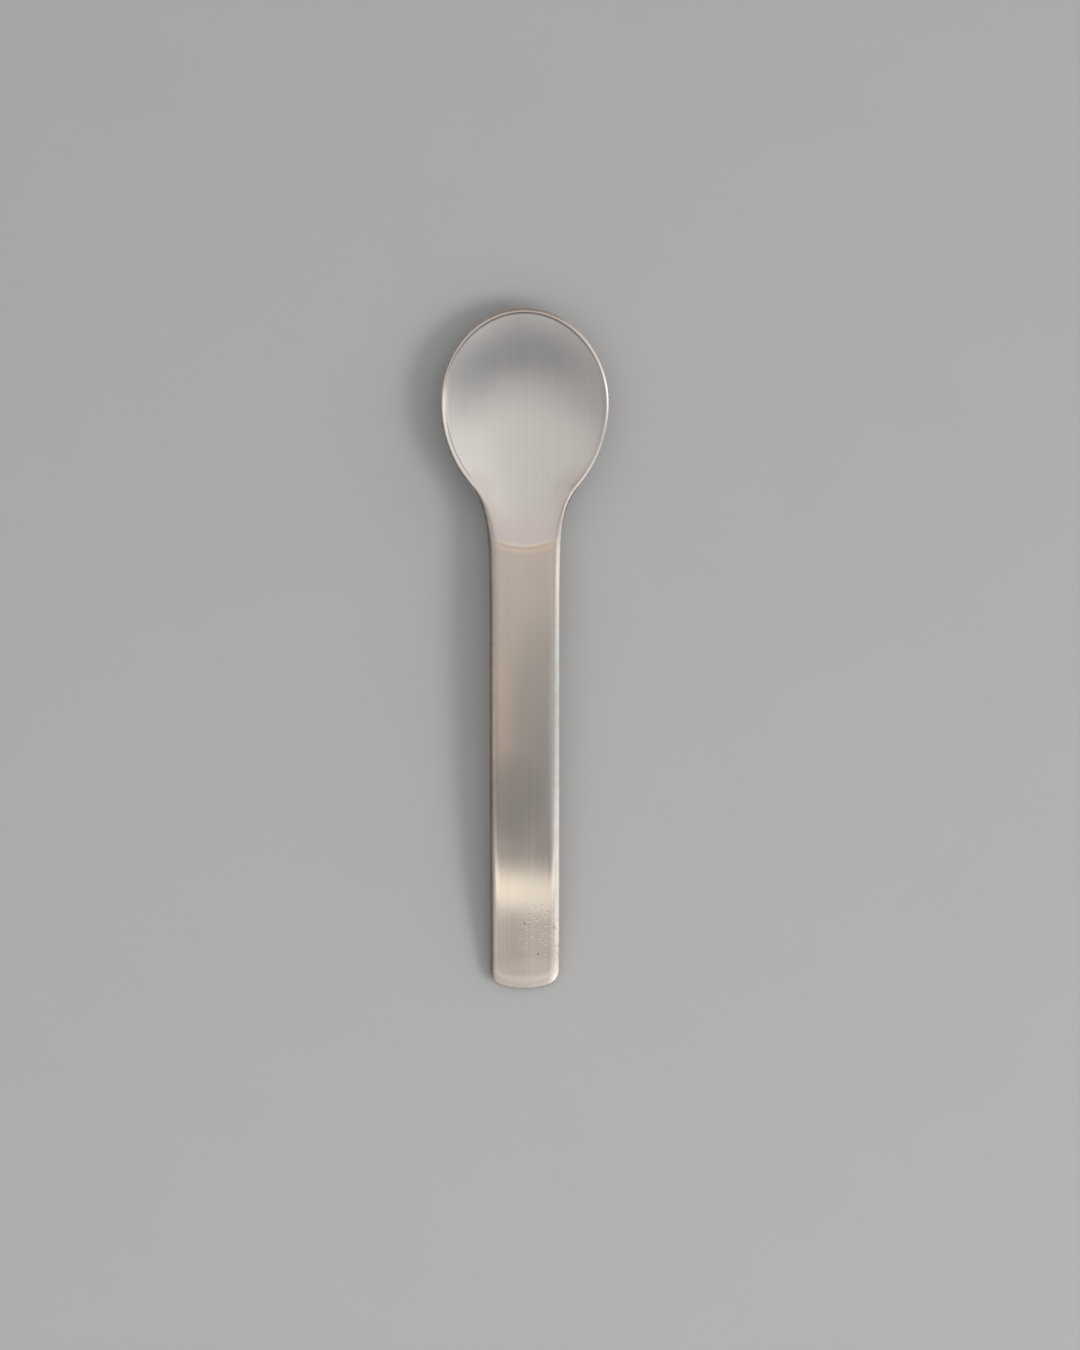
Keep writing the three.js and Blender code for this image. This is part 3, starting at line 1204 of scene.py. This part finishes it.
@dataclass
class SpoonPiece:
    """What the three pieces share: a form, a fineness across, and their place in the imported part."""

    form: SpoonForm
    node: Node
    slot: Slot
    half_across: int = 80
    made: bpy.types.Object | None = None

    def stations(self) -> list[Station]:
        """Cross-sections of the piece, listed towards the tip."""
        raise NotImplementedError

    def ends_in_point(self) -> bool:
        """Whether the last cross-section is a single point."""
        return False

    def build(self) -> bpy.types.Object:
        """Makes the piece's mesh and puts it on the body.

        Returns:
            The new object.
        """
        shares = np.sin(np.linspace(-1, 1, 2 * self.half_across + 1) * math.pi / 2)
        stations = self.stations()
        upper = np.stack([s.row(self.form, shares, 0.0, self.form.upper) for s in stations])
        lower = np.stack([s.row(self.form, shares, s.scarf, self.form.lower) for s in stations])
        plate = PlateMesh(upper, lower, self.form, self.ends_in_point())
        self.made = plate.build(f"finished_{self.node.value}")
        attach(self.made, BODY)
        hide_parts(self.node.value)
        log.info("%s: %d faces", self.made.name, len(self.made.data.polygons))
        return self.made

    def dress(self, material: bpy.types.Material) -> None:
        """Gives the piece its finish."""
        self.made.data.materials.clear()
        self.made.data.materials.append(material)

    def seam_station(self, side: int) -> Station:
        """The cross-section on one side of the seam, 1 towards the tip and -1 towards the end."""
        middle = self.form.seam_y + side * self.form.seam_width / 2
        return Station(middle, self.form.seam_sag, self.form.scarf_run)


@dataclass
class Bowl(SpoonPiece):
    """The pressed scoop, with its neck as far as the seam."""

    neck_steps: int = 80
    head_steps: int = 96

    def ends_in_point(self) -> bool:
        """The bowl's rows close on its tip."""
        return True

    def stations(self) -> list[Station]:
        """Rows that straighten towards the widest place, then follow the round head.

        Returns:
            Cross-sections, listed towards the tip.
        """
        start = self.seam_station(1)
        rows = [start]
        for left in np.linspace(1, 0, self.neck_steps + 1)[1:-1]:
            middle = self.form.widest_y + (start.middle - self.form.widest_y) * left
            rows.append(Station(middle, start.sag * left, start.scarf * left))
        for angle in np.linspace(0, math.pi / 2, self.head_steps + 1):
            rows.append(Station(self.form.widest_y + self.form.tip_to_widest * math.sin(angle), 0.0, 0.0))
        return rows


@dataclass
class BrazeSeam(SpoonPiece):
    """The strip of filler between bowl and handle."""

    steps: int = 6

    def stations(self) -> list[Station]:
        """Rows from the handle's scarf face to the bowl's.

        Returns:
            Cross-sections, listed towards the tip.
        """
        first, last = self.seam_station(-1), self.seam_station(1)
        places = np.linspace(first.middle, last.middle, self.steps + 1)
        return [Station(middle, first.sag, first.scarf) for middle in places]


@dataclass
class Handle(SpoonPiece):
    """The arched bar, from its rounded end to the seam."""

    handle_steps: int = 150
    corner_steps: int = 28

    def stations(self) -> list[Station]:
        """Rows bowed like the rounded end first, then rows that come to lie along the seam.

        Returns:
            Cross-sections, listed towards the tip.
        """
        form = self.form
        corner_x, corner_y, sweep = form.corner
        rows = []
        for angle in np.linspace(sweep, 0, self.corner_steps + 1):
            x = corner_x + form.end_corner * math.cos(angle)
            sag = form.end_bow(x)
            rows.append(Station(corner_y - form.end_corner * math.sin(angle) - sag, sag, 0.0, half=x))
        first, last = rows[-1], self.seam_station(-1)
        for done in np.linspace(0, 1, self.handle_steps + 1)[1:-1]:
            middle = first.middle + (last.middle - first.middle) * done
            sag = first.sag + (last.sag - first.sag) * done
            rows.append(Station(middle, sag, last.scarf * done))
        return [*rows, last]


@dataclass(frozen=True)
class SoftBox:
    """A rectangular studio lamp that shines evenly from its face, straight down unless it has a target."""

    name: str
    centre: Point
    size: Pair
    radiance: float
    colour: Colour
    target: Point | None = None
    in_mirror: bool = True

    def build(self) -> bpy.types.Object:
        """Makes the lamp, turned to face its target.

        Returns:
            The new lamp.
        """
        lamp = bpy.data.lights.new(self.name, "AREA")
        lamp.shape = "RECTANGLE"
        lamp.size, lamp.size_y = self.size
        lamp.energy = WATTS_PER_AREA * math.prod(self.size) * self.radiance
        lamp.color = self.colour
        made = bpy.data.objects.new(self.name, lamp)
        made.location = self.centre
        aim = Vector(self.target or (*self.centre[:2], 0.0)) - Vector(self.centre)
        made.rotation_euler = aim.to_track_quat("-Z", "Y").to_euler()
        made.visible_camera = False
        made.visible_glossy = self.in_mirror
        bpy.context.scene.collection.objects.link(made)
        return made


LAMPS = (
    SoftBox("band_panel_left", (-0.13, -0.148, 0.28), (0.25, 0.041), 1.1, (1.0, 1.0, 0.86)),
    SoftBox("band_panel_right", (0.195, -0.1555, 0.28), (0.4, 0.036), 0.73, (1.0, 1.0, 0.86)),
    SoftBox("spill_panel", (0.0, -0.283, 0.28), (0.5, 0.22), 0.12, (1.0, 0.98, 0.96)),
    SoftBox(
        "key_window",
        (1.35, -0.592, 1.033),
        (0.9, 0.486),
        9.0,
        (1.0, 0.98, 0.95),
        target=(0.0, 0.0, 0.0),
        in_mirror=False,
    ),
)


@dataclass(frozen=True)
class Sky:
    """What the steel mirrors: bands across the spoon, a dim patch, two low walls, and light from the right.

    Places are parts of a direction: X to the right, Y beyond the tip and Z up.
    """

    bands: tuple[tuple[float, Colour], ...] = (
        (-1.0, (0.84, 0.84, 0.84)),
        (-0.8, (0.78, 0.78, 0.78)),
        (-0.62, (0.69, 0.69, 0.69)),
        (-0.48, (0.64, 0.64, 0.64)),
        (-0.1, (0.61, 0.61, 0.61)),
        (-0.03, (0.64, 0.64, 0.64)),
        (0.07, (0.75, 0.745, 0.74)),
        (0.21, (0.86, 0.85, 0.84)),
        (0.35, (0.91, 0.90, 0.89)),
        (1.0, (0.92, 0.91, 0.90)),
    )
    bow: float = 0.4
    dim_place: float = -0.29
    dim_reach: Pair = (0.95, 0.24)
    dim_colour: Colour = (0.645, 0.65, 0.72)
    left_wall: Colour = (0.10, 0.08, 0.065)
    far_wall: Colour = (0.34, 0.27, 0.23)
    wall_height: Pair = (0.3, 0.5)
    wall_start: Pair = (0.1, 0.6)
    wall_step: float = 0.1
    wall_turn: float = 0.5
    far_start: Pair = (0.0, 0.7)
    far_rise: float = 0.25
    far_edge: Pair = (-0.7, -0.05)
    beyond: Pair = (0.05, 0.13)
    lean: float = 0.2
    right_lift: Pair = (0.2, 2.6)
    right_edge: Pair = (0.82, 0.95)
    corner_edge: Pair = (0.1, 0.35)
    corner_lift: float = 0.14
    glow_toward: Point = (0.73, -0.655, 0.195)
    glow_reach: Pair = (0.8, 1.0)
    glow_lift: float = 0.8
    backdrop_colour: Colour = (0.6, 0.605, 0.61)

    def build(self) -> None:
        """Makes the sky, with a plain backdrop where the camera sees it."""
        world = bpy.data.worlds.new("Studio sky")
        world.use_nodes = True
        tree = NodeTree(world.node_tree)
        background = world.node_tree.nodes["Background"]
        toward = tree.node("ShaderNodeTexCoord").outputs["Generated"]
        way = tree.parts(toward)
        beyond = tree.rise(way["Y"], *self.beyond)
        tree.feed(background.inputs["Color"], self.walled(tree, way, beyond, self.overhead(tree, way)))
        tree.feed(background.inputs["Strength"], self.strength(tree, way, beyond, toward))
        plain = tree.node("ShaderNodeBackground", {"Color": (*self.backdrop_colour, 1)})
        seen = tree.node("ShaderNodeLightPath").outputs["Is Camera Ray"]
        shown = tree.node("ShaderNodeMixShader", {0: seen, 1: background.outputs[0], 2: plain.outputs[0]})
        tree.feed(world.node_tree.nodes["World Output"].inputs["Surface"], shown.outputs[0])
        bpy.context.scene.world = world

    def overhead(self, tree: NodeTree, way: Sockets) -> Socket:
        """The bowed bands, with the dim patch above the handle.

        Args:
            tree: The sky's nodes.
            way: The direction's parts.

        Returns:
            The colour.
        """
        square = tree.math("MULTIPLY", way["X"], way["X"])
        bowed = tree.math("MULTIPLY_ADD", square, -self.bow, way["Y"])
        ramp = tree.node("ShaderNodeValToRGB", {"Fac": tree.math("MULTIPLY_ADD", bowed, 0.5, 0.5)})
        ramp.color_ramp.interpolation = "EASE"
        stops = ramp.color_ramp.elements
        while len(stops) < len(self.bands):
            stops.new(1.0)
        for stop, (place, colour) in zip(stops, self.bands):
            stop.position = place / 2 + 0.5
            stop.color = (*colour, 1)
        wide, narrow = self.dim_reach
        off = tree.math("DIVIDE", tree.math("SUBTRACT", bowed, self.dim_place), narrow)
        away = tree.math("MULTIPLY_ADD", off, off, tree.math("DIVIDE", square, wide**2))
        return tree.blend(tree.drop(away, 0.0, 1.0), ramp.outputs["Color"], self.dim_colour, "MULTIPLY")

    def walled(self, tree: NodeTree, way: Sockets, beyond: Socket, sky: Socket) -> Socket:
        """Adds a dark wall on the left and a tan one beyond the tip.

        Args:
            tree: The sky's nodes.
            way: The direction's parts.
            beyond: Mask of the far half.
            sky: The colour so far.

        Returns:
            The colour.
        """
        turned = tree.math("MAXIMUM", way["Y"], tree.math("MULTIPLY", way["Y"], self.wall_turn))
        behind = tree.rise(tree.math("SUBTRACT", turned, way["X"]), *self.wall_start)
        ahead = tree.rise(way["Y"], *self.far_start)
        step = tree.math("MULTIPLY", beyond, tree.math("SUBTRACT", 1.0, ahead))
        height = tree.math("MULTIPLY_ADD", step, self.wall_step, way["Z"])
        straight = tree.rise(way["X"], *self.far_edge)
        height = tree.math("MULTIPLY_ADD", tree.math("MULTIPLY", ahead, straight), -self.far_rise, height)
        low = tree.drop(height, *self.wall_height)
        walls = tree.blend(ahead, self.left_wall, self.far_wall)
        return tree.blend(tree.math("MULTIPLY", behind, low), sky, walls)

    def strength(self, tree: NodeTree, way: Sockets, beyond: Socket, toward: Socket) -> Socket:
        """How much more light comes from the right, from the far right corner and from a glow beside the end.

        Args:
            tree: The sky's nodes.
            way: The direction's parts.
            beyond: Mask of the far half.
            toward: The direction.

        Returns:
            The strength.
        """
        near_lift, far_lift = self.right_lift
        lift = tree.math("MULTIPLY_ADD", beyond, far_lift - near_lift, near_lift)
        right = tree.math("MULTIPLY_ADD", tree.rise(way["X"], *self.right_edge), lift, 1.0)
        rightward = tree.math("MAXIMUM", way["X"], 0.0)
        lean = tree.math("MULTIPLY_ADD", rightward, self.lean / 2, 1.0)
        lean = tree.math("MULTIPLY_ADD", way["X"], self.lean / 2, lean)
        corner = tree.math("MULTIPLY", rightward, way["Y"])
        lifted = tree.math("ADD", lean, tree.remap(corner, self.corner_edge, (0.0, self.corner_lift)))
        near = tree.node("ShaderNodeVectorMath", {0: toward, 1: self.glow_toward}, operation="DOT_PRODUCT")
        glow = tree.remap(near.outputs["Value"], self.glow_reach, (0.0, self.glow_lift))
        return tree.math("MULTIPLY_ADD", right, lifted, glow)


@dataclass
class Studio:
    """The table, the light and the camera."""

    sky: Sky = Sky()
    lamps: tuple[SoftBox, ...] = LAMPS
    table_size: float = 30.0
    table_gap: float = 0.02 * MM
    table_colour: Colour = (0.386, 0.39, 0.392)
    table_shade: float = 0.97
    table_roughness: float = 0.75
    unevenness: float = 40.0
    uneven_detail: float = 5.0
    camera_height: float = 0.5952
    nearest_seen: float = 0.01
    focal_pixels: float = 2369.0
    spoon_pixel: Pair = (524.6, 649.5)
    pixel_size: float = 0.25185 * MM
    sensor: float = 36.0

    def build(self) -> None:
        """Makes everything around the spoon."""
        self.build_table()
        self.sky.build()
        for lamp in self.lamps:
            lamp.build()
        self.build_camera()
        bpy.context.scene.view_settings.view_transform = "Standard"

    def build_table(self) -> None:
        """A plain pale table top with the faintest unevenness, a hair below the spoon."""
        half = self.table_size / 2
        low = -self.table_gap
        corners = [(-half, -half, low), (half, -half, low), (half, half, low), (-half, half, low)]
        mesh = bpy.data.meshes.new("table_top")
        mesh.from_pydata(corners, [], [(0, 1, 2, 3)])
        top = bpy.data.objects.new("table_top", mesh)
        bpy.context.scene.collection.objects.link(top)
        material, tree, shader = new_material("Pale table")
        uneven = tree.noise(tree.place(), self.unevenness, self.uneven_detail)
        shade = tuple(self.table_shade * c for c in self.table_colour)
        tree.feed(shader.inputs["Base Color"], tree.blend(uneven, shade, self.table_colour))
        shader.inputs["Roughness"].default_value = self.table_roughness
        mesh.materials.append(material)

    def build_camera(self) -> None:
        """A camera that looks straight down, as in the photograph."""
        data = bpy.data.cameras.new("camera")
        data.sensor_width = self.sensor
        data.lens = self.sensor * self.focal_pixels / PHOTO_HEIGHT
        data.clip_start = self.nearest_seen
        camera = bpy.data.objects.new("camera", data)
        right = (PHOTO_WIDTH / 2 - self.spoon_pixel[0]) * self.pixel_size
        down = (PHOTO_HEIGHT / 2 - self.spoon_pixel[1]) * self.pixel_size
        camera.location = (right, -down, self.camera_height)
        bpy.context.scene.collection.objects.link(camera)
        bpy.context.scene.camera = camera


def main() -> None:
    """Builds the spoon and the studio around it."""
    logging.basicConfig(level=logging.INFO, format="%(name)s: %(message)s")
    low, high = CAD_BOX
    form = SpoonForm(length=(high.y - low.y) / MM, bowl_width=(high.x - low.x) / MM)
    log.info("rest tilt %.5f, lift %.3f mm", *form.rest)
    bowl = Bowl(form, Node.BOWL, Slot.BOWL)
    seam = BrazeSeam(form, Node.SEAM, Slot.SEAM)
    handle = Handle(form, Node.HANDLE, Slot.HANDLE)
    for piece in (bowl, seam, handle):
        piece.build()
    bowl.dress(SATIN.build(form))
    seam.dress(BrazeFinish().build(form))
    handle.dress(BRUSHED.build(form))
    Studio().build()


if __name__ == "__main__":
    main()
